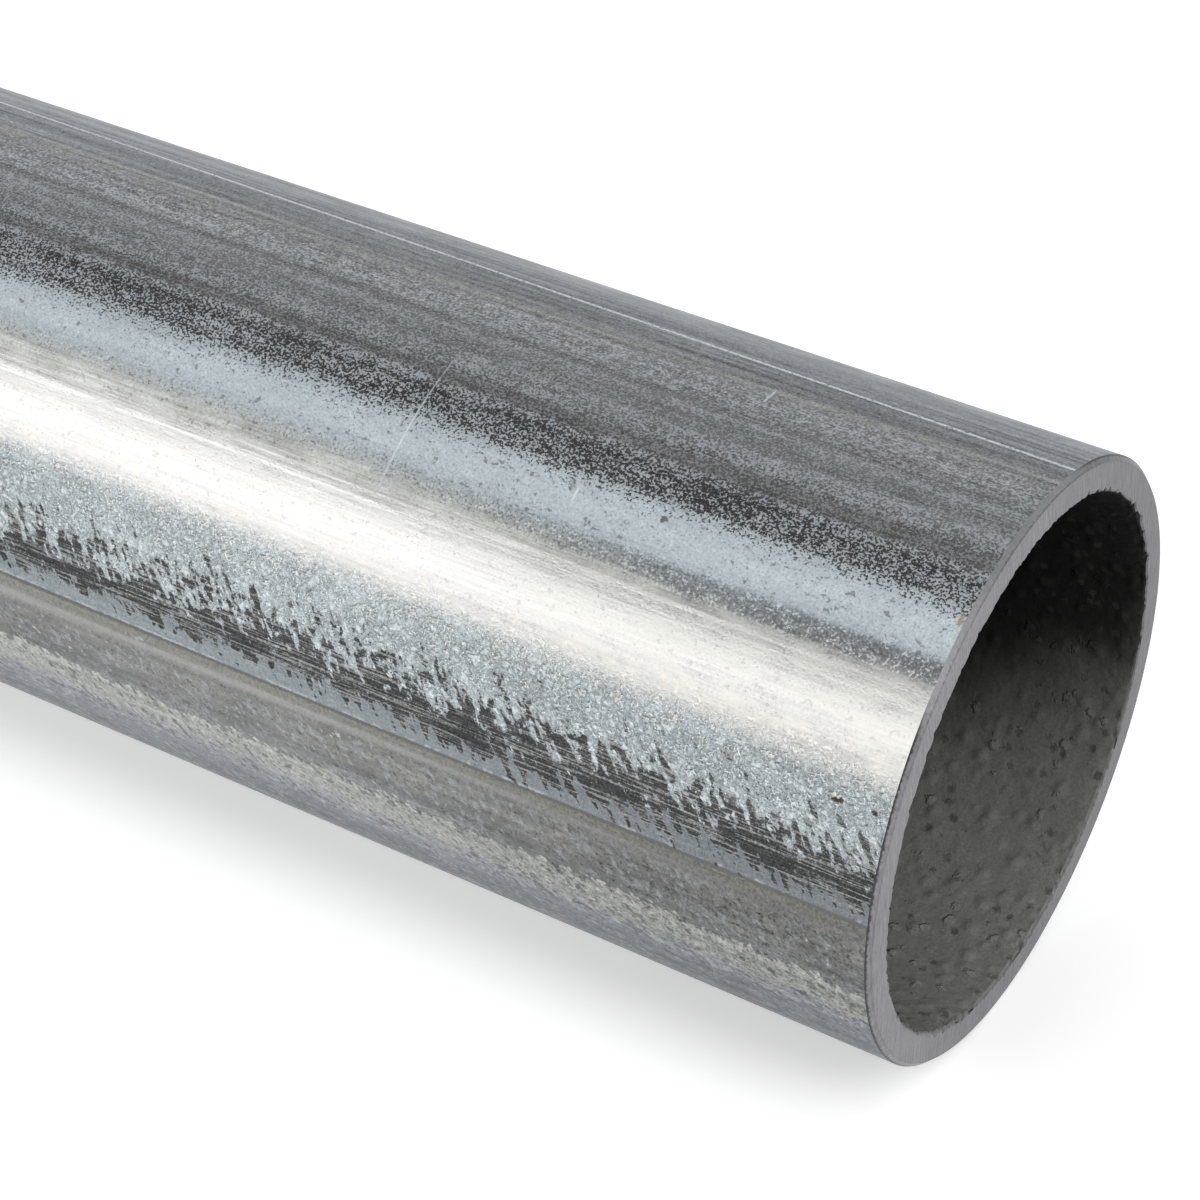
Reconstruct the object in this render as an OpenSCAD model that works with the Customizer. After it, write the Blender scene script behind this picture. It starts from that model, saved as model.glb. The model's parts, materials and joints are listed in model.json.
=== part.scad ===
// Galvanised steel pipe: one straight length of round welded pipe, sawn square and
// deburred at both ends. It lies along X on the plane Z = 0, with the origin under its
// middle. All sizes are in millimetres.

/* [Pipe] */
// Outside diameter, zinc coat included
outside_diameter = 60.3; // [21.3:0.1:168.3]
// Wall thickness
wall_thickness = 3.6; // [2:0.1:8]
// Cut length, from sawn face to sawn face
pipe_length = 1000; // [250:50:6400]

/* [Cut ends] */
// Width of the chamfer that deburring leaves on each outer edge
outer_edge_break = 0.5; // [0.1:0.1:0.8]
// Width of the chamfer that deburring leaves on each inner edge
inner_edge_break = 0.3; // [0.1:0.1:0.8]

/* [Hidden] */

outside_radius = outside_diameter / 2;
bore_radius = outside_radius - wall_thickness;
half_length = pipe_length / 2;

// Facets round the pipe in a preview
$fn = 128;

// Section of the wall at one sawn end, as [radius, distance from the middle of the length]:
// from the bore over the inner chamfer, the sawn face and the outer chamfer to the outside
sawn_end = [
    [bore_radius, half_length - inner_edge_break],
    [bore_radius + inner_edge_break, half_length],
    [outside_radius - outer_edge_break, half_length],
    [outside_radius, half_length - outer_edge_break]
];

// The other end is its mirror image, taken in reverse so that the outline runs on round
opposite_end = [for (i = [len(sawn_end) - 1 : -1 : 0]) [sawn_end[i].x, -sawn_end[i].y]];

module pipe() {
    color([0.62, 0.64, 0.65])
        translate([0, 0, outside_radius])
            rotate([0, 90, 0])
                rotate_extrude()
                    polygon(concat(sawn_end, opposite_end));
}

pipe();
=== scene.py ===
import json
import math

import bmesh
import bpy
from mathutils import Matrix, Vector, noise


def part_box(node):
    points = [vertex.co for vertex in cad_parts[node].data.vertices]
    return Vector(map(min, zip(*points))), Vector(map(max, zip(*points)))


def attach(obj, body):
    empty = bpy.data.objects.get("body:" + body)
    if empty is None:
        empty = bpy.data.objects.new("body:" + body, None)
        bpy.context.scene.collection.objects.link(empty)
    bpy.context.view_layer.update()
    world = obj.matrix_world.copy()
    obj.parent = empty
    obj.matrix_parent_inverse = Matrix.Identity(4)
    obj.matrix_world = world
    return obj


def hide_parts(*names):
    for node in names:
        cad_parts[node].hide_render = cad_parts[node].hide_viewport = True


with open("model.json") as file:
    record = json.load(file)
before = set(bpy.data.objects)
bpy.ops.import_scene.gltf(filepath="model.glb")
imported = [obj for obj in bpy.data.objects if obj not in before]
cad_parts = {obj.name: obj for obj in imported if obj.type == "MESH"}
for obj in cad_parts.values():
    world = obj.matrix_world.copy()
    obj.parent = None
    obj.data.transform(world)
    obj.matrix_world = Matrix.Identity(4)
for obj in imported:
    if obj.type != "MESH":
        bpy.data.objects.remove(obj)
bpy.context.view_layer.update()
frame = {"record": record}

bl_info = {
    "name": "Galvanised Steel Pipe",
    "version": (1, 0, 0),
    "blender": (4, 5, 0),
    "location": "3D View > Sidebar > Pipe",
    "description": "Dresses a sawn length of galvanised steel pipe and sets up its studio",
    "category": "Object",
}

MM = 0.001
MOUNTS = {mount["name"]: mount for mount in frame["record"]["mounts"]}
PIPE_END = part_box("pipe")[1][0]

# Order of the materials on the pipe
OUTSIDE, SAWN, BORE = range(3)

# Faces that meet at more than this angle keep a sharp edge
SHARP_ANGLE = math.radians(25)

# The pipe is turned as one sector, which is then copied round
SECTORS = 8

# Cuts in each stretch of the wall's outline at an end, from the bore round to the outside,
# and in the plain stretches between the ends
END_CUTS = [84, 1, 5, 1, 1]
PLAIN_CUTS = [3]

# Zinc blisters in the bore: millimetres from one to the next, the least reach of a blister and
# how much that varies, as shares of this, and a rate that sets neighbours apart
BLISTER_SPACING = 2.1
BLISTER_REACH = 0.30
BLISTER_VARIES = 0.13
BLISTER_MIX = 13.0

# Soft swell under the blisters: its share of their height, and its waves in a millimetre
SWELL_SHARE = 0.3
SWELL_RATE = 0.5

# The rough bore fades out over the last part of its depth, one over this number
FADE_RATE = 4

# Tears of the inner rim: the depth to which they run in millimetres, and coarse and fine waves
# in a millimetre
TEAR_DEPTH = 1.3
COARSE_TEAR = 1.2
FINE_TEAR = 2.6

# Flat layout of the skin for a bake, in shares of its map: left edge and width of the columns for
# the outside's two halves and the bore, foot and height of an outside column, and the heights of
# a plain half and a rough end in the bore's column
FAR_COLUMN = (0.002, 0.362)
NEAR_COLUMN = (0.368, 0.362)
BORE_COLUMN = (0.734, 0.264)
COLUMN_FOOT = 0.002
COLUMN_HEIGHT = 0.966
PLAIN_HEIGHT = 0.4
ROUGH_HEIGHT = 0.098

# A sawn face takes this many times its width in the layout
SAWN_STRETCH = 4


class PipeSizes(bpy.types.PropertyGroup):
    """Sizes of the pipe's wall and of the relief on it"""

    outside_radius: bpy.props.FloatProperty(
        name="Outside radius", description="Radius over the zinc coat",
        default=MOUNTS["outside"]["dims"]["r_mm"] * MM, unit="LENGTH")
    bore_radius: bpy.props.FloatProperty(
        name="Bore radius", description="Radius of the plain through bore",
        default=MOUNTS["bore"]["dims"]["r_mm"] * MM, unit="LENGTH")
    half_length: bpy.props.FloatProperty(
        name="Half length", description="From the middle of the pipe to a sawn face",
        default=PIPE_END, unit="LENGTH")
    outer_chamfer: bpy.props.FloatProperty(
        name="Outer chamfer", description="Width of the chamfer on the outer edge of a sawn face",
        default=PIPE_END - MOUNTS["outside"]["dims"]["length_mm"] * MM / 2, unit="LENGTH")
    inner_chamfer: bpy.props.FloatProperty(
        name="Inner chamfer", description="Width of the chamfer on the inner edge of a sawn face",
        default=PIPE_END - MOUNTS["bore"]["dims"]["length_mm"] * MM / 2, unit="LENGTH")
    facets: bpy.props.IntProperty(
        name="Facets", description="Facets round the pipe, a multiple of eight", default=480, min=64)
    rough_depth: bpy.props.FloatProperty(
        name="Rough depth", description="How far in from each end the bore's lumps are modelled",
        default=28 * MM, unit="LENGTH")
    lump_height: bpy.props.FloatProperty(
        name="Lump height", description="Height of the zinc lumps in the bore",
        default=0.30 * MM, unit="LENGTH")
    rim_tear: bpy.props.FloatProperty(
        name="Rim tear", description="Depth of the nicks along the inner rim",
        default=0.55 * MM, unit="LENGTH")


class PipeFinish(bpy.types.PropertyGroup):
    """Colours of the zinc, the sawn steel and the bore"""

    pale: bpy.props.FloatVectorProperty(
        name="Pale zinc", description="Smooth blue-grey zinc skin",
        default=(0.495, 0.54, 0.57), subtype="COLOR")
    dull: bpy.props.FloatVectorProperty(
        name="Dull zinc", description="Crinkled blue-grey zinc",
        default=(0.455, 0.504, 0.528), subtype="COLOR")
    cream: bpy.props.FloatVectorProperty(
        name="Cream zinc", description="Warm bright zinc",
        default=(0.63, 0.635, 0.61), subtype="COLOR")
    bright: bpy.props.FloatVectorProperty(
        name="Bright zinc", description="Smooth zinc along the highlight",
        default=(0.56, 0.558, 0.545), subtype="COLOR")
    upper: bpy.props.FloatVectorProperty(
        name="Upper zinc", description="Smooth mid-grey zinc near the top",
        default=(0.26, 0.265, 0.276), subtype="COLOR")
    worked: bpy.props.FloatVectorProperty(
        name="Worked zinc", description="Mid-grey zinc with draw lines",
        default=(0.40, 0.408, 0.413), subtype="COLOR")
    brown: bpy.props.FloatVectorProperty(
        name="Brown zinc", description="Dull brownish zinc",
        default=(0.272, 0.271, 0.264), subtype="COLOR")
    dark: bpy.props.FloatVectorProperty(
        name="Dark zinc", description="Ground between the speckles and along the torn band",
        default=(0.14, 0.14, 0.138), subtype="COLOR")
    strip: bpy.props.FloatVectorProperty(
        name="Zinc strip", description="Blue-grey strip of skin below the torn band",
        default=(0.272, 0.30, 0.318), subtype="COLOR")
    olive: bpy.props.FloatVectorProperty(
        name="Olive zinc", description="Smooth greenish zinc under the torn strip",
        default=(0.25, 0.247, 0.225), subtype="COLOR")
    scab: bpy.props.FloatVectorProperty(
        name="Zinc scabs", description="Dull cream patches of thick zinc",
        default=(0.43, 0.43, 0.403), subtype="COLOR")
    slate: bpy.props.FloatVectorProperty(
        name="Slate zinc", description="Dull bluish zinc",
        default=(0.322, 0.339, 0.358), subtype="COLOR")
    under: bpy.props.FloatVectorProperty(
        name="Under side", description="Bluish zinc low on the pipe",
        default=(0.145, 0.152, 0.162), subtype="COLOR")
    # Colour of the painted glints on the crinkled zinc
    speck: bpy.props.FloatVectorProperty(
        name="Specks", description="Bright specks on the crinkled zinc",
        default=(0.70, 0.73, 0.74), subtype="COLOR")
    crust: bpy.props.FloatVectorProperty(
        name="Crust", description="Cream crust along the crinkled zinc",
        default=(0.60, 0.55, 0.45), subtype="COLOR")
    scratch: bpy.props.FloatVectorProperty(
        name="Scratches", description="Bright zinc laid bare by scratches",
        default=(0.693, 0.756, 0.798), subtype="COLOR")
    rust: bpy.props.FloatVectorProperty(
        name="Rust", description="Flecks of rust", default=(0.045, 0.025, 0.015), subtype="COLOR")
    ochre: bpy.props.FloatVectorProperty(
        name="Ochre", description="Stain at the edge of the sawn end",
        default=(0.36, 0.29, 0.19), subtype="COLOR")
    sawn: bpy.props.FloatVectorProperty(
        name="Sawn steel", description="Bare steel of the sawn faces",
        default=(0.238, 0.233, 0.245), subtype="COLOR")
    bore: bpy.props.FloatVectorProperty(
        name="Bore", description="Dull dark zinc inside",
        default=(0.205, 0.205, 0.198), subtype="COLOR")


class StageSettings(bpy.types.PropertyGroup):
    """Camera, lamps and floor of the studio"""

    camera_offset: bpy.props.FloatVectorProperty(
        name="Camera offset", description="Camera's place from the foot of the photographed end",
        default=(91.19 * MM, -219.98 * MM, 225.64 * MM), unit="LENGTH", subtype="TRANSLATION")
    camera_pitch: bpy.props.FloatProperty(
        name="Camera pitch", description="How far the camera looks down",
        default=math.radians(36.893), subtype="ANGLE")
    camera_turn: bpy.props.FloatProperty(
        name="Camera turn", description="How far the camera is turned left from looking across the pipe",
        default=math.radians(32.046), subtype="ANGLE")
    lens: bpy.props.FloatProperty(
        name="Lens", description="Focal length on a 36 mm sensor, in millimetres", default=98.434)
    floor_radius: bpy.props.FloatProperty(
        name="Floor radius", description="Radius of the round floor", default=6.0, unit="LENGTH")
    floor_color: bpy.props.FloatVectorProperty(
        name="Floor colour", description="Pale matt floor", default=(0.93, 0.93, 0.93), subtype="COLOR")
    floor_glow: bpy.props.FloatProperty(
        name="Floor glow", description="Light that the floor adds for the camera, to read as white",
        default=0.30)
    horizon_light: bpy.props.FloatProperty(
        name="Horizon light", description="Brightness of the studio's walls", default=0.98)
    ceiling_light: bpy.props.FloatProperty(
        name="Ceiling light", description="Brightness of the studio's ceiling", default=0.48)


class Signal:
    """A shader socket that works in Python sums: each operator adds a Math node."""

    def __init__(self, graph, socket):
        self.graph = graph
        self.socket = socket

    def __add__(self, other):
        return self.graph.math("ADD", self, other)

    def __sub__(self, other):
        return self.graph.math("SUBTRACT", self, other)

    def __rsub__(self, other):
        return self.graph.math("SUBTRACT", other, self)

    def __mul__(self, other):
        return self.graph.math("MULTIPLY", self, other)

    def __truediv__(self, other):
        return self.graph.math("DIVIDE", self, other)

    def __rtruediv__(self, other):
        return self.graph.math("DIVIDE", other, self)

    __radd__ = __add__
    __rmul__ = __mul__

    def also(self, output):
        """Another output of the node that this signal comes from."""
        return Signal(self.graph, self.socket.node.outputs[output])


class Graph:
    """The nodes of one material or world."""

    def __init__(self, owner):
        owner.use_nodes = True
        self.tree = owner.node_tree
        self.tree.nodes.clear()

    def node(self, kind, settings=None, sockets=None, output=0):
        """Adds a node of any type: first its settings, then its sockets' values or links."""
        made = self.tree.nodes.new(kind)
        for name, value in (settings or {}).items():
            if name == "stops":
                set_stops(made.color_ramp, value)
            else:
                setattr(made, name, value)
        for name, value in (sockets or {}).items():
            if isinstance(value, Signal):
                self.tree.links.new(value.socket, made.inputs[name])
            else:
                made.inputs[name].default_value = value
        return Signal(self, made.outputs[output] if made.outputs else None)

    def math(self, operation, *values):
        return self.node("ShaderNodeMath", {"operation": operation}, dict(enumerate(values)))

    def vector_math(self, operation, *values):
        return self.node("ShaderNodeVectorMath", {"operation": operation}, dict(enumerate(values)))

    def vector(self, x, y, z):
        return self.node("ShaderNodeCombineXYZ", None, {"X": x, "Y": y, "Z": z})

    def length(self, vector):
        return self.node("ShaderNodeVectorMath", {"operation": "LENGTH"}, {0: vector}, "Value")

    def step(self, low, high, value, start=0.0, stop=1.0):
        """Rises smoothly from start to stop while value goes from low to high."""
        return self.node("ShaderNodeMapRange", {"interpolation_type": "SMOOTHSTEP"},
                         {"Value": value, "From Min": low, "From Max": high,
                          "To Min": start, "To Max": stop})

    def noise(self, point, scale, detail=2.0, roughness=0.5):
        return self.node("ShaderNodeTexNoise", None,
                         {"Vector": point, "Scale": scale, "Detail": detail, "Roughness": roughness})

    def grain(self, point, stretch, scale, detail=2.0, roughness=0.5):
        """Noise of about -1 to 1, longer along the pipe by one over the stretch."""
        if stretch != 1.0:
            point = self.vector_math("MULTIPLY", point, (stretch, 1.0, 1.0))
        return self.math("MULTIPLY_ADD", self.noise(point, scale, detail, roughness), 6.0, -3.0)

    def total(self, start, *terms):
        """Adds signals to a start value, each with its own weight."""
        for signal, weight in terms:
            start = self.math("MULTIPLY_ADD", signal, weight, start)
        return start

    def mix(self, factor, first, second):
        """Blends two colours."""
        return self.node("ShaderNodeMix", {"data_type": "RGBA"},
                         {0: factor, 6: color_value(first), 7: color_value(second)}, output=2)

    def shade(self, color, value):
        """Multiplies a colour by a grey value."""
        return self.node("ShaderNodeMix", {"data_type": "RGBA", "blend_type": "MULTIPLY"},
                         {0: 1.0, 6: color_value(color), 7: value}, output=2)

    def surface(self, relief, sockets):
        """Closes a material with one shader over a relief, whose height is in millimetres."""
        bump = self.node("ShaderNodeBump", None, {"Strength": 1.0, "Distance": MM, "Height": relief})
        shader = self.node("ShaderNodeBsdfPrincipled", None, {**sockets, "Normal": bump})
        self.finish("ShaderNodeOutputMaterial", shader)

    def finish(self, kind, shader):
        self.node(kind, None, {"Surface": shader})


def color_value(color):
    """A colour as a socket takes it: signals pass, three numbers get an alpha."""
    return color if isinstance(color, Signal) else (*color, 1.0)


def set_stops(ramp, stops):
    """Gives a colour ramp its stops, each a position and a colour."""
    while len(ramp.elements) < len(stops):
        ramp.elements.new(0.5)
    for element, (position, color) in zip(ramp.elements, stops):
        element.position = position
        element.color = (*color, 1.0)


# Angles round the pipe are in degrees: 0 faces +Y, 90 is the top and 180 faces -Y.
# The middle of the side that the camera sees, and how far its view reaches to either side
CAMERA_SIDE = 138.0
SIGHT_REACH = 84.0


class PipePlace:
    """Where a point of the surface lies on the pipe, in millimetres and degrees."""

    def __init__(self, graph, sizes):
        self.graph = graph
        radius = sizes.outside_radius / MM
        coords = graph.node("ShaderNodeTexCoord", None, None, "Object")
        per_mm = (1 / MM,) * 3
        self.point = graph.vector_math("MULTIPLY_ADD", coords, per_mm, (0.0, 0.0, -radius))
        along = graph.node("ShaderNodeSeparateXYZ", None, {0: self.point})
        self.across = along.also("Y")
        self.up = along.also("Z")
        # Millimetres from the photographed end, negative along the pipe
        self.along = along - sizes.half_length / MM
        # Angle from the camera's side, so that its jump lies behind
        cos_side = math.cos(math.radians(CAMERA_SIDE))
        sin_side = math.sin(math.radians(CAMERA_SIDE))
        self.facing = self.across * cos_side + self.up * sin_side
        beside = self.up * cos_side - self.across * sin_side
        degrees = graph.math("ARCTAN2", beside, self.facing) * math.degrees(1.0)
        # The bands that the photograph shows run back in reverse round the hidden side
        away = graph.math("ABSOLUTE", degrees)
        back_rate = SIGHT_REACH / (180.0 - SIGHT_REACH)
        folded = graph.math("MINIMUM", away, SIGHT_REACH * (1 + back_rate) - away * back_rate)
        self.hidden = graph.step(SIGHT_REACH + 4, SIGHT_REACH + 20, away)
        self.band_angle = CAMERA_SIDE + graph.math("SIGN", degrees) * folded
        self.angle = CAMERA_SIDE + degrees
        # Millimetres round the outside to a degree, and the outside laid flat
        self.degree = math.radians(1.0) * radius
        self.arc = self.band_angle * self.degree
        self.flat = graph.vector(self.along, self.angle * self.degree, 0.0)

    def slanted(self, slope, round_rate):
        """Coordinates in which strokes that slant round the pipe run straight, and long."""
        return self.graph.vector(self.along - self.arc * slope, self.arc * round_rate,
                                 self.facing * round_rate)

    def apart(self, spot, angle, half_length, half_width):
        """Distance from an oval mark on the outside, one at the oval's edge."""
        rates = (1 / half_length, 1 / half_width, 0.0)
        centre = (-spot / half_length, -angle * self.degree / half_width, 0.0)
        scaled = self.graph.vector_math("MULTIPLY_ADD", self.flat, rates, centre)
        return self.graph.length(scaled)


def darker(color, share):
    """A plain colour scaled by a share, which may also be a little over one."""
    return tuple(share * part for part in color)


def between(graph, value, rise, fall):
    """One inside a range and zero outside: rise and fall are each a start and an end."""
    return graph.step(*rise, value) * graph.step(*fall, value, 1.0, 0.0)


# Marks on the outside: millimetres from the photographed end, angle, half length along the pipe,
# half width round it, and colour
MARKS = (
    (-5.6, 154.6, 0.75, 0.28, "rust"), (-1.9, 154.4, 0.30, 0.22, "rust"),
    (-0.9, 119.8, 0.45, 0.50, "ochre"), (-30.2, 120.5, 0.30, 0.32, "dark"),
    (-57.8, 119.0, 0.09, 9.0, "scratch"), (-29.0, 87.0, 0.12, 1.3, "scratch"),
    (-39.2, 121.8, 0.12, 1.1, "scratch"),
)


class ZincSkin:
    """Hot-dip zinc in long bands. Each layer goes over the colour that it is given.

    A zone is given by the two angles over which it begins and the two over which it ends.
    """

    def __init__(self, graph, place, finish):
        self.graph = graph
        self.place = place
        self.finish = finish

        # Grain shared by the layers, each about -1 to 1
        point = place.point
        self.fine = graph.grain(point, 0.9, 4.2, 1.0, 0.7)
        self.grit = graph.grain(point, 0.75, 1.3, 1.0, 0.6)
        self.mottle = graph.grain(point, 0.4, 0.45, 1.0, 0.6)
        self.lines = graph.grain(point, 0.03, 5.0, 1.0, 0.7)
        self.streaks = graph.grain(point, 0.006, 0.6, 1.0)
        self.bands = graph.grain(point, 0.02, 1.5, 1.0, 0.6)
        self.strokes = graph.grain(place.slanted(0.6, 0.3), 1.0, 1.1, 1.0, 0.5)
        self.flakes = graph.grain(place.slanted(0.5, 0.75), 1.0, 1.5, 1.0, 0.6)

        # Angle round the pipe with a slow drift, and the zones that several layers share
        drift = graph.grain(point, 0.04, 0.3, 0.0)
        self.band = graph.total(place.band_angle, (drift, 0.4))
        self.near_end = graph.step(-70, -4, place.along)
        self.brushed = between(graph, self.band, (129.0, 131.0), (135.5, 139.0))
        self.bright = between(graph, self.band, (128, 136), (146, 152))
        self.wear_and_shade = self.bright * self.near_end
        ragged_band = graph.total(self.band, (self.grit, 1.6), (self.flakes, 0.6))
        self.crinkled = between(graph, ragged_band, (147.5, 151.0), (165.5, 168.5))
        creases = graph.total(self.fine * 0.40, (self.grit, 0.75), (self.flakes, 0.25))
        self.creases = graph.math("ABSOLUTE", creases)
        self.lower = graph.step(178, 181, self.band)

    def ground(self):
        """Ground tones round the pipe."""
        finish = self.finish
        tones = (
            (54, finish.dark), (60, finish.dark), (68, finish.upper), (84, finish.upper),
            (90, finish.worked), (103, finish.worked), (108, finish.brown), (113, finish.dark),
            (119, finish.dark), (122, finish.pale), (127.5, finish.pale), (130.5, finish.cream),
            (136, finish.cream), (137.6, finish.bright), (148, finish.bright), (155, finish.dull),
            (164, finish.dull), (168, finish.strip), (174.6, finish.strip),
            (175, finish.olive), (176.6, finish.olive), (177.8, finish.brown), (189, finish.brown),
            (196, finish.slate), (205, finish.slate), (211, finish.under), (222, finish.under),
        )
        span = 2 * SIGHT_REACH
        start = CAMERA_SIDE - SIGHT_REACH
        stops = [((angle - start) / span, tuple(color)) for angle, color in tones]
        share = (self.band - start) / span
        color = self.graph.node("ShaderNodeValToRGB", {"stops": stops}, {"Fac": share})
        return self.graph.mix(self.crinkled * 0.9, color, finish.dull)

    def speckles(self, color):
        """Draw lines on the dark ground, and pale grains that close up to the smooth pale skin."""
        g = self.graph
        band = self.band
        worked = g.step(83, 92, band)
        speckled = worked * g.step(124, 127, band, 1.0, 0.0)
        line_share = g.total(0.06, (speckled, 0.14), (self.brushed, 0.08))
        color = g.shade(color, g.total(0.95, (self.lines, line_share)))

        smooth = between(g, g.total(band, (self.mottle, 0.3)), (105.8, 107.2), (108.6, 110.0))
        drawn_brown = g.shade(self.finish.brown, g.total(1.0, (self.lines, 0.25)))
        color = g.mix(smooth * 0.5, color, drawn_brown)

        density = g.total(-0.5, (worked, 0.5), (g.step(114.5, 127.5, band), 2.6))
        grains = g.total(density, (self.fine, 1.2), (self.grit, 0.2), (self.mottle, 0.2),
                         (self.streaks, 0.25))
        grains = g.step(-0.2, 0.5, grains) * g.total(1.0, (smooth, -0.6))
        gaps = speckled * (1 - grains)
        color = g.shade(color, 1 - gaps * g.step(96, 112, band, 0.1, 0.26))
        contrast = g.step(92, 110, band, 0.6, 1.0)
        color = g.mix(speckled * grains * contrast, color, darker(self.finish.pale, 1.02))

        soft_streak = between(g, band, (82.6, 84.6), (85.0, 86.6))
        return g.mix(soft_streak * 0.6, color, self.finish.scab)

    def dark_streak(self, color):
        """Stippled streak between the pale skin and the bright zone, strongest at the sawn end."""
        g = self.graph
        clumps = g.total(self.fine, (self.grit, 0.5))
        upper_border = g.step(126.0, 128.0, self.band)
        lower_border = g.step(130.8, 129.2, g.total(self.band, (self.near_end, -2.0)))
        middle = upper_border * lower_border * (1 - self.place.hidden)
        streak = middle * g.total(0.06, (self.near_end, 0.84)) * g.step(1.1, 0.4, clumps)
        color = g.mix(streak, color, darker(self.finish.strip, 0.84))
        stipple = g.total(-1.6, (middle, self.near_end + 0.75), (self.fine, -1.1), (self.grit, 0.35))
        fleck = g.shade(self.finish.slate, g.step(-0.7, 0.9, clumps, 0.45, 1.1))
        return g.mix(g.step(-0.5, 0.5, stipple) * 0.52, color, fleck)

    def lower_side(self, color):
        """Cream and bluish patches with ragged borders on brown mottles."""
        g = self.graph
        finish = self.finish
        blot = g.total(self.fine * 0.4, (self.flakes, 0.6), (self.mottle, 0.4))
        color = g.mix(self.lower * g.step(-0.3, 0.6, blot) * 0.62, color, finish.dark)

        bluish = g.total((self.band - 200.0) / 4.0, (self.strokes, 0.45), (self.mottle, 0.35),
                         (self.fine, 0.15))
        bluish = g.step(-0.25, 0.25, bluish)
        tuft = g.total(self.fine * 0.2, (self.strokes, 0.5), (self.flakes, 0.5))
        tuft_color = g.mix(bluish, finish.slate, finish.scab)
        color = g.mix(self.lower * g.step(0.1, 0.7, tuft) * 0.5, color, tuft_color)

        zone = between(g, self.band, (188.3, 194.0), (198.0, 206.5))
        patch = g.total(-1.2, (zone, 2.2), (self.mottle, 0.5), (self.flakes, 0.5), (self.fine, 0.12))
        strength = g.total(0.86, (self.streaks, 0.12), (self.near_end, 0.12))
        patch_color = g.mix(bluish, finish.scab, darker(finish.slate, 1.1))
        color = g.mix(g.step(-0.12, 0.18, patch) * strength, color, patch_color)

        nicks = g.step(0.5, 0.85, g.total(self.grit * 0.7, (self.strokes, 0.6)))
        nicks = nicks * between(g, self.band, (187, 192), (206, 212))
        return g.mix(nicks * 0.75, color, finish.dark)

    def overall_grain(self, color):
        """Fine grain and soft streaks over all of it, with painted shade darker towards the sawn end."""
        g = self.graph
        band = self.band
        plain = g.step(100, 90, band)
        fine_share = g.total(0.13, (self.crinkled, 0.12), (plain, 0.14), (self.lower, 0.07),
                             (self.bright, -0.10), (self.wear_and_shade, 0.03))
        grit_share = g.total(0.05, (plain, 0.06), (self.lower, 0.03), (self.bright, -0.03))
        streak_share = g.step(124, 110, band, 0.04, 0.14)
        band_share = g.step(96, 80, band, 0.02, 0.24)
        band_share = g.total(band_share, (self.lower, 0.08), (self.brushed, 0.12))
        shade = g.total(0.97, (self.fine, fine_share), (self.grit, grit_share),
                        (self.streaks, streak_share), (self.bands, band_share),
                        (self.flakes, self.lower * 0.18), (self.mottle, self.bright * 0.06))
        # Painted shade: the zones from the cream band down darker towards the sawn end, most below the
        # crinkled zone
        painted_end_shade = between(g, band, (128, 136), (158, 164))
        painted_end_shade = g.total(g.step(158, 172, band) * 0.30, (painted_end_shade, 0.15))
        return g.shade(color, shade - painted_end_shade * self.near_end)

    def clouds_and_pits(self, color):
        """Warm clouds at the sawn end of the bright zone, and small dark pits in the smooth skin."""
        g = self.graph
        clouds = self.wear_and_shade * g.step(-0.7, 0.7, self.mottle) * 0.6
        color = g.mix(clouds, color, darker(self.finish.scab, 1.2))
        pits = g.step(-1.15, -1.4, g.total(self.grit, (self.fine, 0.35), (self.near_end, -0.12)))
        pits = pits * between(g, self.band, (117, 122), (146, 150))
        return g.mix(pits * g.total(0.6, (self.bright, -0.4)), color, self.finish.dark)

    def crinkles(self, color):
        """Painted shade in the creases, bright specks as painted glints, and cream scabs in the crinkled
        zone.
        """
        g = self.graph
        # Painted shade in the creases
        painted_crease_shade = g.step(-0.7, 0.3, g.total(self.mottle, (self.strokes, 0.7)))
        painted_crease_shade = g.step(0.20, 0.05, self.creases) * painted_crease_shade
        color = g.mix(self.crinkled * painted_crease_shade * 0.72, color, darker(self.finish.worked, 0.5))
        # Bright specks as painted glints on the crumpled relief
        specks = g.step(0.50, 0.95, g.total(self.creases, (self.fine, 0.4)))
        color = g.mix(self.crinkled * specks * 0.55, color, self.finish.speck)
        scabs = g.step(0.3, 0.8, g.total(self.grit, (self.flakes, 0.3)))
        scabs = scabs * between(g, self.band, (144, 147), (150, 157))
        return g.mix(scabs * 0.28, color, self.finish.crust)

    def torn_band(self, color):
        """Bare drawn metal behind slanting tongues, with a jagged strip of skin below."""
        g = self.graph
        tongues = g.total((self.band - 162.7) / 6.6, (self.near_end, 0.05), (self.strokes, 0.65),
                          (self.flakes, 0.55), (self.fine, 0.36))
        bared = g.total(self.band - 166.4, (self.flakes, 0.4), (self.strokes, 0.4))
        chips = g.step(-1.2, -0.95, g.total(self.flakes, (self.fine, 0.4)))
        bared = g.step(-0.3, 0.3, bared) * chips
        reach = g.total(-1.6, (self.near_end, -1.4))
        jagged = g.total(self.band - 171.2, (self.flakes, 0.9), (self.strokes, reach), (self.fine, 0.15))
        torn = g.math("MAXIMUM", g.step(-0.1, 0.14, tongues), bared) * g.step(0.35, -0.2, jagged)
        drawn = g.step(-0.2, 1.0, g.total(self.lines, (self.fine, 0.3)))
        bare = g.mix(drawn, darker(self.finish.dark, 0.42), darker(self.finish.brown, 0.88))
        bare = g.shade(bare, g.total(0.9, (self.fine, 0.25), (self.lines, 0.2)))
        return g.mix(torn * 0.95, color, bare)

    def lip(self, color):
        """Edge of the skin below the strip: a bright line painted as a highlight on the step, a dark line
        painted as the shadow under it, and a cream ridge.
        """
        g = self.graph
        ragged_band = g.total(self.band, (self.fine, 0.12))
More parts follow.
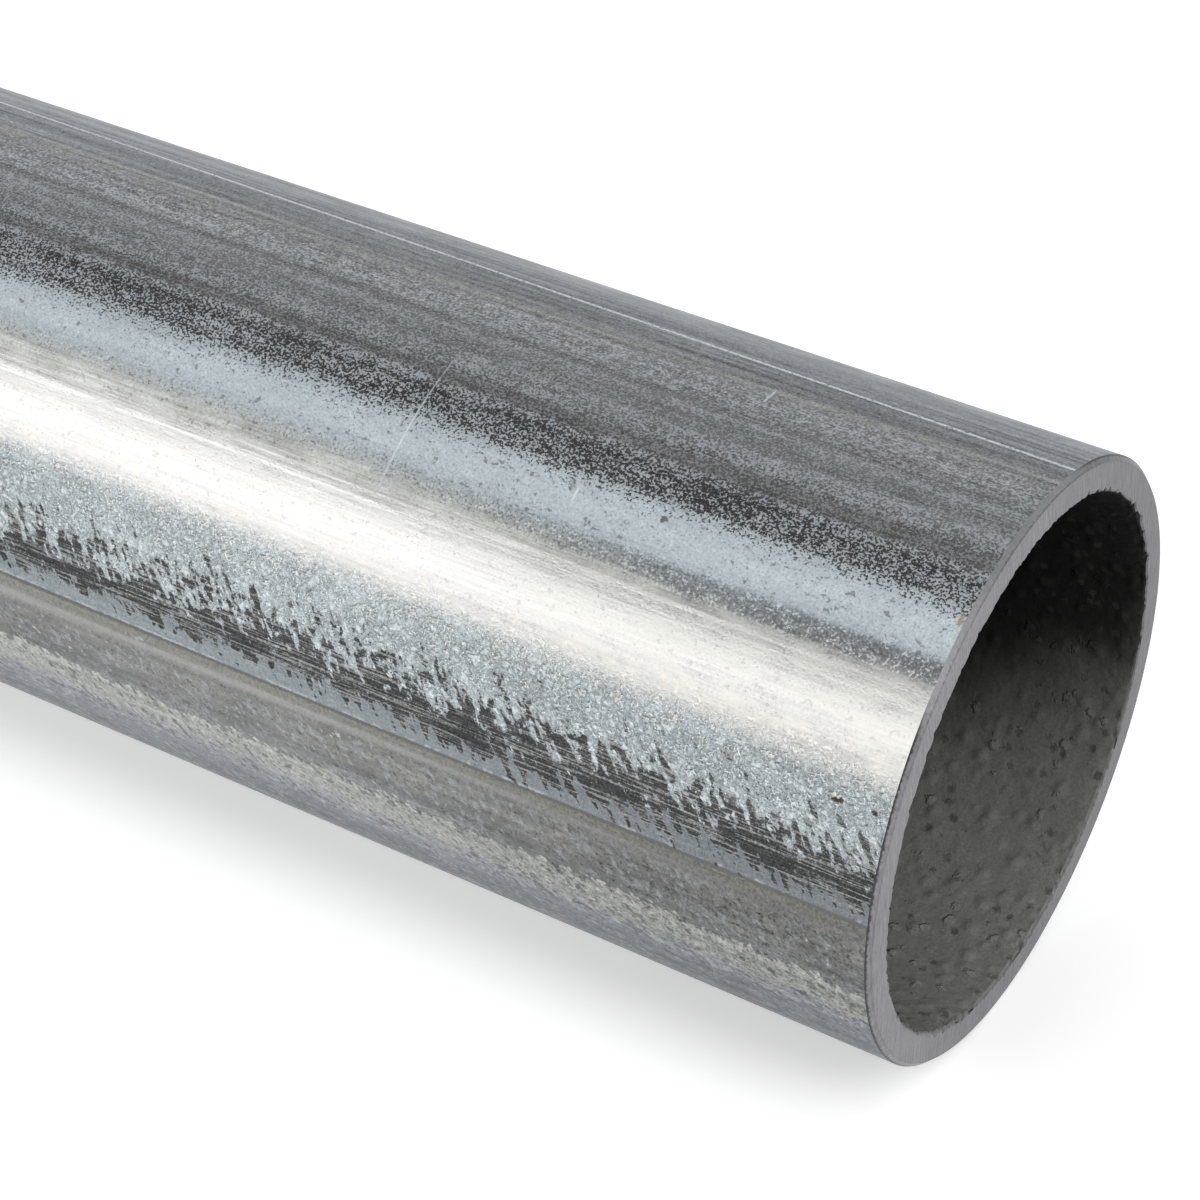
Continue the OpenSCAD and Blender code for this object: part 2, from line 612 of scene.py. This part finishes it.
        # Painted highlight along the edge of the step
        edge = between(g, ragged_band, (173.7, 174.2), (174.3, 174.5))
        edge = edge * g.step(-0.5, 0.6, self.grit + self.mottle)
        color = g.mix(edge * 0.5, color, self.finish.pale)
        # Painted shadow under the step
        painted_lip_shadow = between(g, ragged_band, (174.3, 174.5), (174.9, 175.5))
        color = g.mix(painted_lip_shadow * 0.8, color, darker(self.finish.dark, 0.8))
        ridge = between(g, self.band, (176.8, 177.8), (178.2, 179.6))
        return g.mix(ridge * g.total(0.42, (self.near_end, -0.42)), color, self.finish.scab)

    def marks(self, color):
        """The long scratch near the top, and the single marks, each a ragged oval."""
        g = self.graph
        place = self.place
        slanting = g.total(place.angle, (place.along, -0.046))
        scratch = between(g, slanting, (77.6, 78.0), (78.4, 78.8))
        scratch = scratch * g.step(-1.2, -0.2, self.fine) * g.step(-420, -250, place.along)
        color = g.mix(scratch * 0.8, color, self.finish.scratch)
        ragged = g.total(self.fine * 0.25, (self.grit, 0.3))
        for spot, angle, length, width, stain in MARKS:
            mask = g.step(1.1, 0.6, place.apart(spot, angle, length, width) + ragged)
            color = g.mix(mask * 0.9, color, getattr(self.finish, stain))
        return color

    def relief(self):
        """Height of the skin in millimetres, crumpled in the crinkled zone and the strip."""
        g = self.graph
        crumpled = between(g, self.place.band_angle, (146.5, 152.0), (168.0, 174.0))
        fine_height = g.total(0.002, (crumpled, 0.010))
        grit_height = g.total(0.0015, (crumpled, 0.025))
        return g.total(self.creases * crumpled * 0.12, (self.fine, fine_height), (self.grit, grit_height))

    def roughness(self):
        return self.graph.total(0.29, (self.crinkled, 0.07), (self.mottle, 0.035))


def zinc_outside(sizes, finish):
    """Hot-dip zinc: long bands of speckled, smooth, bright, crinkled and torn skin."""
    material = bpy.data.materials.new("zinc_outside")
    g = Graph(material)
    skin = ZincSkin(g, PipePlace(g, sizes), finish)
    color = skin.ground()
    for layer in (skin.speckles, skin.dark_streak, skin.lower_side, skin.overall_grain,
                  skin.clouds_and_pits, skin.crinkles, skin.torn_band, skin.lip, skin.marks):
        color = layer(color)
    g.surface(skin.relief(), {"Base Color": color, "Metallic": 1.0, "Roughness": skin.roughness(),
                              "Specular Tint": (0.77, 0.80, 0.83, 1.0)})
    return material


# Centre of the saw blade, in millimetres across and up from the pipe's axis
BLADE_ACROSS = -170.0
BLADE_UP = -12.0


def sawn_steel(sizes, finish):
    """Bare sawn steel: arced saw marks, a dark line round the outer edge, a painted highlight and a
    painted shadow at the outer chamfer, and painted shade darker towards +Y.
    """
    material = bpy.data.materials.new("sawn_steel")
    g = Graph(material)
    place = PipePlace(g, sizes)
    # Saw marks are arcs about the blade's centre
    reach = g.length(g.vector(0.0, place.across - BLADE_ACROSS, place.up - BLADE_UP))
    marks = g.grain(g.vector(place.up * 0.09, reach, place.along), 1.0, 3.4, 2.0, 0.65)
    cloud = g.grain(place.point, 1.0, 0.18, 1.0)
    speck = g.grain(place.point, 1.0, 2.4, 1.0)
    inset = sizes.outside_radius / MM - g.length(g.vector(0.0, place.across, place.up))
    ragged_inset = inset + speck * 0.05
    chamfer = sizes.outer_chamfer / MM
    # Painted shade: the sawn face darker towards +Y
    wear_and_shade = g.step(-30, 30, place.across, 0.90, 0.60)
    color = g.shade(finish.sawn, wear_and_shade * (0.97 + marks * 0.18 + cloud * 0.06 + speck * 0.06))
    # Dark line round the outer edge, all but gone high on the camera's side, where the chamfer has a
    # painted highlight
    highlight_arc = between(g, place.angle, (70, 84), (132, 142))
    rim_line = g.step(0.22, 0.08, inset + speck * 0.04)
    color = g.mix(rim_line * (0.85 - highlight_arc * 0.8), color, darker(finish.sawn, 0.13))
    # Painted shadow: a dark line along the inner border of the outer chamfer
    painted_chamfer_shadow = between(g, ragged_inset, (chamfer - 0.12, chamfer), (chamfer + 0.05, chamfer + 0.2))
    color = g.mix(painted_chamfer_shadow * 0.3, color, darker(finish.sawn, 0.4))
    # Painted highlight: the outer chamfer pale high on the camera's side
    painted_chamfer_highlight = g.step(chamfer, chamfer - 0.15, ragged_inset) * highlight_arc
    color = g.mix(painted_chamfer_highlight * 0.4, color, finish.worked)
    g.surface(marks * 0.008, {"Base Color": color, "Metallic": 1.0, "Roughness": 0.4})
    return material


def bore_zinc(sizes, finish):
    """Dull dark zinc with soft dark spots and blisters, whose paler tops are a painted highlight; painted
    shade makes it darker high up and deep inside.
    """
    material = bpy.data.materials.new("bore_zinc")
    g = Graph(material)
    place = PipePlace(g, sizes)
    point = place.point
    cloud = g.grain(point, 0.7, 0.16, 2.0)
    grain = g.grain(point, 1.0, 4.0, 1.0, 0.6)
    lumps = g.grain(point, 1.0, 0.9, 1.0, 0.6)

    # Painted shade fills the upper part of the bore, and more of it away from the ends
    depth = g.math("MINIMUM", 0.0 - place.along, place.along + 2 * sizes.half_length / MM)
    sunk = (g.math("MINIMUM", depth, 25.0) - 9.0) * g.step(-22, -12, place.up, 0.0, 0.54)
    painted_shade = g.step(-29.3, -0.5, place.up + sunk + cloud * 2.0)
    color = g.mix(painted_shade, finish.bore, darker(finish.bore, 0.04))
    color = g.shade(color, 0.97 + cloud * 0.07 + grain * 0.10 + lumps * 0.05)

    # Dark spots on the chosen cells and blisters on the others, the blisters raised and made paler as a
    # painted highlight
    spot = g.node("ShaderNodeTexVoronoi", None, {"Vector": point, "Scale": 0.55}, "Distance")
    chosen = g.step(0.3, 0.45, spot.also("Color"))
    spotted = g.step(0.34, 0.08, spot + grain * 0.05 + lumps * 0.06) * chosen
    color = g.mix(spotted * 0.6, color, darker(finish.bore, 0.15))
    blister = g.step(0.36, 0.10, spot + lumps * 0.13 + grain * 0.05) * (1 - chosen)
    color = g.shade(color, 0.97 + blister * 0.3)
    relief = grain * 0.006 + lumps * 0.025 - spotted * 0.06 + blister * 0.25
    g.surface(relief, {"Base Color": color, "Roughness": 0.65, "Specular IOR Level": 0.12})
    return material


def draw_wall_section(mesh, sizes):
    """Draws the outline of the wall above the axis, with more points where there is relief."""
    axis = sizes.outside_radius
    bore = sizes.bore_radius
    outside = sizes.outside_radius
    end = sizes.half_length
    rough = end - sizes.rough_depth
    half = (
        (bore, rough),
        (bore, end - sizes.inner_chamfer),
        (bore + sizes.inner_chamfer, end),
        (outside - sizes.outer_chamfer, end),
        (outside, end - sizes.outer_chamfer),
        (outside, rough),
    )
    outline = list(half) + [(radius, -along) for radius, along in reversed(half)]
    cuts = END_CUTS + PLAIN_CUTS + END_CUTS[::-1] + PLAIN_CUTS
    verts = [mesh.verts.new((along, 0, axis + radius)) for radius, along in outline]
    edges = [mesh.edges.new(pair) for pair in zip(verts, verts[1:] + verts[:1])]
    for edge, count in zip(edges, cuts):
        bmesh.ops.subdivide_edges(mesh, edges=[edge], cuts=count)


def spin_round(mesh, sizes):
    """Turns the section through one sector, then sets copies of the sector round the axis."""
    centre = Vector((0, 0, sizes.outside_radius))
    angle = 2 * math.pi / SECTORS
    bmesh.ops.spin(mesh, geom=mesh.verts[:] + mesh.edges[:], cent=centre, axis=(1, 0, 0),
                   angle=angle, steps=sizes.facets // SECTORS)
    sector = mesh.verts[:] + mesh.edges[:] + mesh.faces[:]
    for copy in range(1, SECTORS):
        made = bmesh.ops.duplicate(mesh, geom=sector)["geom"]
        turned = [item for item in made if isinstance(item, bmesh.types.BMVert)]
        bmesh.ops.rotate(mesh, verts=turned, cent=centre, matrix=Matrix.Rotation(copy * angle, 3, "X"))
    bmesh.ops.remove_doubles(mesh, verts=mesh.verts, dist=1e-6)
    bmesh.ops.recalc_face_normals(mesh, faces=mesh.faces)


def roughen_bore(mesh, sizes):
    """Raises blisters of zinc in the bore near the ends and tears the inner rims."""
    axis = sizes.outside_radius
    for vert in mesh.verts:
        across = Vector((0, vert.co.y, vert.co.z - axis))
        if across.length > sizes.bore_radius + 1.5 * sizes.inner_chamfer:
            continue
        depth = sizes.half_length - abs(vert.co.x)
        fade = min(1.0, FADE_RATE * max(0.0, 1 - depth / sizes.rough_depth))
        if fade == 0:
            continue
        spot = vert.co / MM
        shift = -SWELL_SHARE * sizes.lump_height * noise.noise(spot * SWELL_RATE)
        apart, centres = noise.voronoi(spot / BLISTER_SPACING)
        reach = BLISTER_REACH + BLISTER_VARIES * noise.cell(centres[0] * BLISTER_MIX)
        shift -= sizes.lump_height * max(0.0, 1 - (apart[0] / reach) ** 2)
        near_rim = min(1.0, max(0.0, TEAR_DEPTH - depth / MM))
        tear = noise.noise(spot * COARSE_TEAR) + 0.6 * noise.noise(spot * FINE_TEAR) + 0.05
        shift = shift * (1 - near_rim) + sizes.rim_tear * near_rim * max(0.0, tear)
        vert.co += across.normalized() * shift * fade


def mark_faces(mesh, sizes):
    """Gives each face its material and smooth shading."""
    axis = sizes.outside_radius
    half_chamfer = sizes.inner_chamfer / 2
    slack = 0.01 * MM
    for face in mesh.faces:
        centre = face.calc_center_median()
        radius = math.hypot(centre.y, centre.z - axis)
        depth = sizes.half_length - abs(centre.x)
        face.smooth = True
        if radius < sizes.bore_radius + half_chamfer and depth > half_chamfer:
            face.material_index = BORE
        elif depth < sizes.outer_chamfer and radius < sizes.outside_radius - slack:
            face.material_index = SAWN
        else:
            face.material_index = OUTSIDE


def sharpen_edges(mesh):
    """Keeps the shading of the faces apart at the edges of the sawn ends."""
    for edge in mesh.edges:
        edge.smooth = edge.calc_face_angle() < SHARP_ANGLE


def unroll(mesh, sizes):
    """Lays the skin out flat for a bake: each half of the outside in a column, the bore in one."""
    layer = mesh.loops.layers.uv.new("OFBake")
    axis = sizes.outside_radius
    end = sizes.half_length
    rough = end - sizes.rough_depth
    full_turn = 2 * math.pi
    for face in mesh.faces:
        centre = face.calc_center_median()
        middle_turn = math.atan2(centre.y, centre.z - axis)
        in_bore = face.material_index == BORE
        outside_column = FAR_COLUMN if centre.x < 0 else NEAR_COLUMN
        left, width = BORE_COLUMN if in_bore else outside_column
        for loop in face.loops:
            spot = loop.vert.co
            turn = math.atan2(spot.y, spot.z - axis)
            turn -= full_turn * round((turn - middle_turn) / full_turn)
            far = abs(spot.x)
            if in_bore:
                height = PLAIN_HEIGHT * min(far / rough, 1.0)
                height += ROUGH_HEIGHT * max(far - rough, 0.0) / sizes.rough_depth
                rise = 0.5 + math.copysign(height, spot.x)
            else:
                inset = sizes.outside_radius - math.hypot(spot.y, spot.z - axis)
                rise = COLUMN_FOOT + COLUMN_HEIGHT * (far + SAWN_STRETCH * inset) / end
            loop[layer].uv = (left + width * (0.5 + turn / full_turn), rise)


def build_pipe(sizes, finish):
    """Makes the pipe as one closed mesh with its three materials."""
    mesh = bmesh.new()
    draw_wall_section(mesh, sizes)
    spin_round(mesh, sizes)
    mark_faces(mesh, sizes)
    sharpen_edges(mesh)
    unroll(mesh, sizes)
    roughen_bore(mesh, sizes)
    data = bpy.data.meshes.new("pipe_skin")
    mesh.to_mesh(data)
    mesh.free()
    for make in (zinc_outside, sawn_steel, bore_zinc):
        data.materials.append(make(sizes, finish))
    piece = bpy.data.objects.new("pipe_skin", data)
    bpy.context.scene.collection.objects.link(piece)
    return piece


class OBJECT_OT_galvanised_pipe(bpy.types.Operator):
    """Make the pipe with its zinc, sawn faces and rough bore"""

    bl_idname = "object.galvanised_pipe"
    bl_label = "Galvanised pipe"

    def execute(self, context):
        piece = build_pipe(context.scene.pipe_sizes, context.scene.pipe_finish)
        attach(piece, "root")
        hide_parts("pipe")
        return {"FINISHED"}


# Softboxes parallel to the pipe: name, angle round the axis, place along X, length and width,
# brightness and colour
SOFTBOXES = (
    ("front_softbox", 145, -0.15, (1.6, 0.37), 1.5, (1.0, 0.995, 0.98)),
    ("top_softbox", 107.5, -0.3, (1.6, 0.30), 0.62, (0.93, 0.98, 1.0)),
    ("side_softbox", 112, 1.15, (0.9, 0.35), 4.6, (1.0, 1.0, 1.0)),
)
SOFTBOX_DISTANCE = 0.8

# Sines of the angles above the horizon at which the walls end and the ceiling begins
WALL_TOP = 0.2
CEILING_FOOT = 0.75

SENSOR_WIDTH = 36


def lay_floor(scene, stage):
    """Round matt floor, lifted to white where the camera sees it straight or in a reflection."""
    mesh = bmesh.new()
    bmesh.ops.create_circle(mesh, cap_ends=True, radius=stage.floor_radius, segments=96)
    data = bpy.data.meshes.new("floor")
    mesh.to_mesh(data)
    mesh.free()
    material = bpy.data.materials.new("floor")
    g = Graph(material)
    camera_ray = g.node("ShaderNodeLightPath", None, None, "Is Camera Ray")
    seen = camera_ray + camera_ray.also("Is Glossy Ray") + camera_ray.also("Is Transmission Ray")
    shader = g.node("ShaderNodeBsdfPrincipled", None,
                    {"Base Color": (*stage.floor_color, 1.0), "Roughness": 1.0,
                     "Specular IOR Level": 0.0, "Emission Color": seen * stage.floor_glow,
                     "Emission Strength": 1.0})
    g.finish("ShaderNodeOutputMaterial", shader)
    data.materials.append(material)
    floor = bpy.data.objects.new("floor", data)
    scene.collection.objects.link(floor)


def light_world(scene, stage):
    """Studio of pale walls and a dimmer ceiling."""
    scene.world = bpy.data.worlds.new("studio")
    g = Graph(scene.world)
    ray = g.node("ShaderNodeTexCoord", None, None, "Generated")
    height = g.node("ShaderNodeSeparateXYZ", None, {0: ray}, "Z")
    strength = g.step(WALL_TOP, CEILING_FOOT, height, stage.horizon_light, stage.ceiling_light)
    shader = g.node("ShaderNodeBackground", None, {"Color": (1.0, 1.0, 1.0, 1.0), "Strength": strength})
    g.finish("ShaderNodeOutputWorld", shader)


def hang_softbox(scene, sizes, name, angle, along, size, brightness, color):
    """Hangs a softbox parallel to the pipe, facing its axis."""
    lamp = bpy.data.lights.new(name, "AREA")
    lamp.shape = "RECTANGLE"
    lamp.size, lamp.size_y = size
    lamp.color = color
    lamp.energy = brightness * math.pi * lamp.size * lamp.size_y
    holder = bpy.data.objects.new(name, lamp)
    rise = math.radians(angle)
    holder.location = (along, SOFTBOX_DISTANCE * math.cos(rise),
                       sizes.outside_radius + SOFTBOX_DISTANCE * math.sin(rise))
    holder.rotation_euler = (rise - math.pi / 2, 0, 0)
    scene.collection.objects.link(holder)


def set_camera(scene, sizes, stage):
    """Places the camera as the photograph was taken."""
    camera = bpy.data.cameras.new("camera")
    camera.sensor_width = SENSOR_WIDTH
    camera.lens = stage.lens
    holder = bpy.data.objects.new("camera", camera)
    holder.location = Vector((sizes.half_length, 0, 0)) + Vector(stage.camera_offset)
    holder.rotation_euler = (math.pi / 2 - stage.camera_pitch, 0, stage.camera_turn)
    scene.collection.objects.link(holder)
    scene.camera = holder


class SCENE_OT_pipe_stage(bpy.types.Operator):
    """Set up the floor, the studio light and the camera"""

    bl_idname = "scene.pipe_stage"
    bl_label = "Pipe stage"

    def execute(self, context):
        scene = context.scene
        sizes = scene.pipe_sizes
        stage = scene.pipe_stage
        lay_floor(scene, stage)
        light_world(scene, stage)
        for softbox in SOFTBOXES:
            hang_softbox(scene, sizes, *softbox)
        set_camera(scene, sizes, stage)
        scene.view_settings.view_transform = "Standard"
        return {"FINISHED"}


class VIEW3D_PT_galvanised_pipe(bpy.types.Panel):
    """Sizes, finish and stage of the pipe"""

    bl_label = "Galvanised Pipe"
    bl_space_type = "VIEW_3D"
    bl_region_type = "UI"
    bl_category = "Pipe"

    def draw(self, context):
        scene = context.scene
        for settings, operator in ((scene.pipe_sizes, OBJECT_OT_galvanised_pipe),
                                   (scene.pipe_finish, None),
                                   (scene.pipe_stage, SCENE_OT_pipe_stage)):
            box = self.layout.box()
            for name in settings.__annotations__:
                box.prop(settings, name)
            if operator:
                box.operator(operator.bl_idname)


SETTINGS = {"pipe_sizes": PipeSizes, "pipe_finish": PipeFinish, "pipe_stage": StageSettings}
CLASSES = (*SETTINGS.values(), OBJECT_OT_galvanised_pipe, SCENE_OT_pipe_stage,
           VIEW3D_PT_galvanised_pipe)


def register():
    for cls in CLASSES:
        bpy.utils.register_class(cls)
    for name, group in SETTINGS.items():
        setattr(bpy.types.Scene, name, bpy.props.PointerProperty(type=group))


def unregister():
    for name in SETTINGS:
        delattr(bpy.types.Scene, name)
    for cls in reversed(CLASSES):
        bpy.utils.unregister_class(cls)


def main():
    register()
    bpy.ops.object.galvanised_pipe()
    bpy.ops.scene.pipe_stage()


if __name__ == "__main__":
    main()
